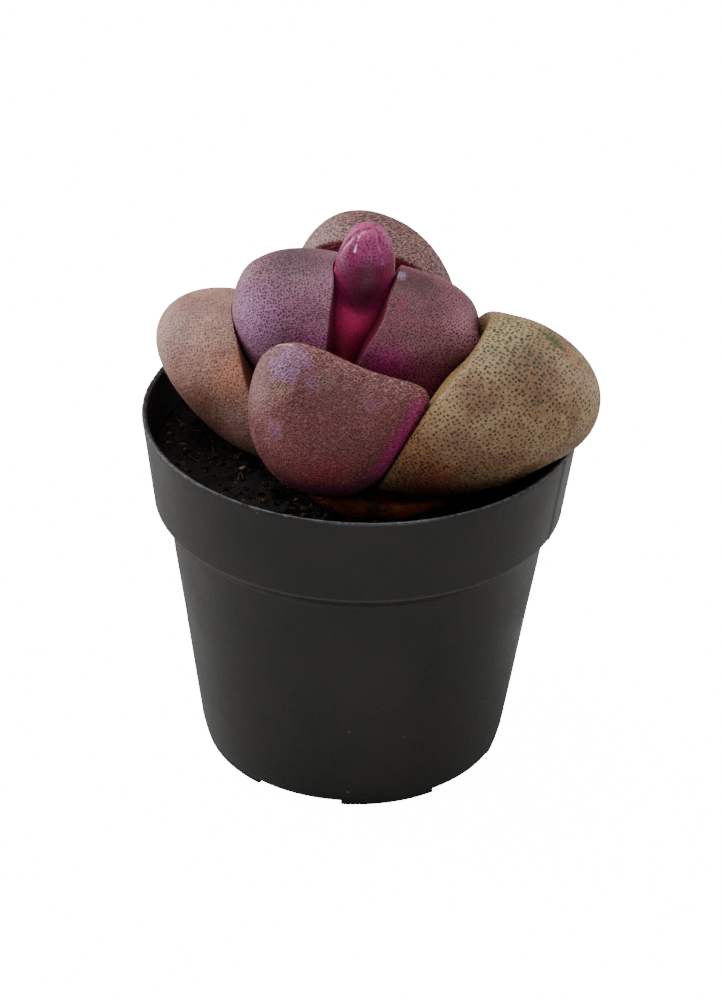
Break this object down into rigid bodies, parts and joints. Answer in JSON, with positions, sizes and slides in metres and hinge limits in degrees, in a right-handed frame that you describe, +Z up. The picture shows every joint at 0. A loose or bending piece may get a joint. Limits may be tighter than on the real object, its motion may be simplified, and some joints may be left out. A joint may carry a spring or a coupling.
{
  "type": "potted split rock succulent",
  "caption": "Split rock succulent: fat rounded leaves in crossed pairs round an upright flower bud, in a small round black nursery pot of soil.",
  "frame": {"origin": "centre of the pot's underside, on the plane it stands on", "axes": "+Z up along the pot's axis; +X to the right and -Y towards the viewer in the pictured side"},
  "size_m": [0.0935, 0.09, 0.1195],
  "materials": {
    "pot_plastic": "satin moulded black plastic with fine scuffs",
    "soil": "dark fibrous peat with fine grit",
    "crown_tissue": "dull orange-brown dry skin",
    "outer_leaf_left_skin": "matt waxy pinkish tan skin with grey-green dots",
    "outer_leaf_right_skin": "matt waxy tan skin with dark green dots",
    "front_leaf_skin": "matt waxy maroon skin with dark dots",
    "rear_leaf_skin": "matt waxy dusty pinkish brown skin with fine dots",
    "inner_leaf_skin": "matt waxy mauve skin with near-black dots",
    "bud_skin": "satin purple and magenta skin"
  },
  "bodies": {
    "root": {"pot": "pot_plastic", "soil": "soil", "crown": "crown_tissue", "outer_leaf_left": "outer_leaf_left_skin", "outer_leaf_right": "outer_leaf_right_skin", "front_leaf": "front_leaf_skin", "rear_leaf": "rear_leaf_skin", "inner_leaf_left": "inner_leaf_skin", "inner_leaf_right": "inner_leaf_skin", "flower_bud": "bud_skin"}
  },
  "joints": []
}
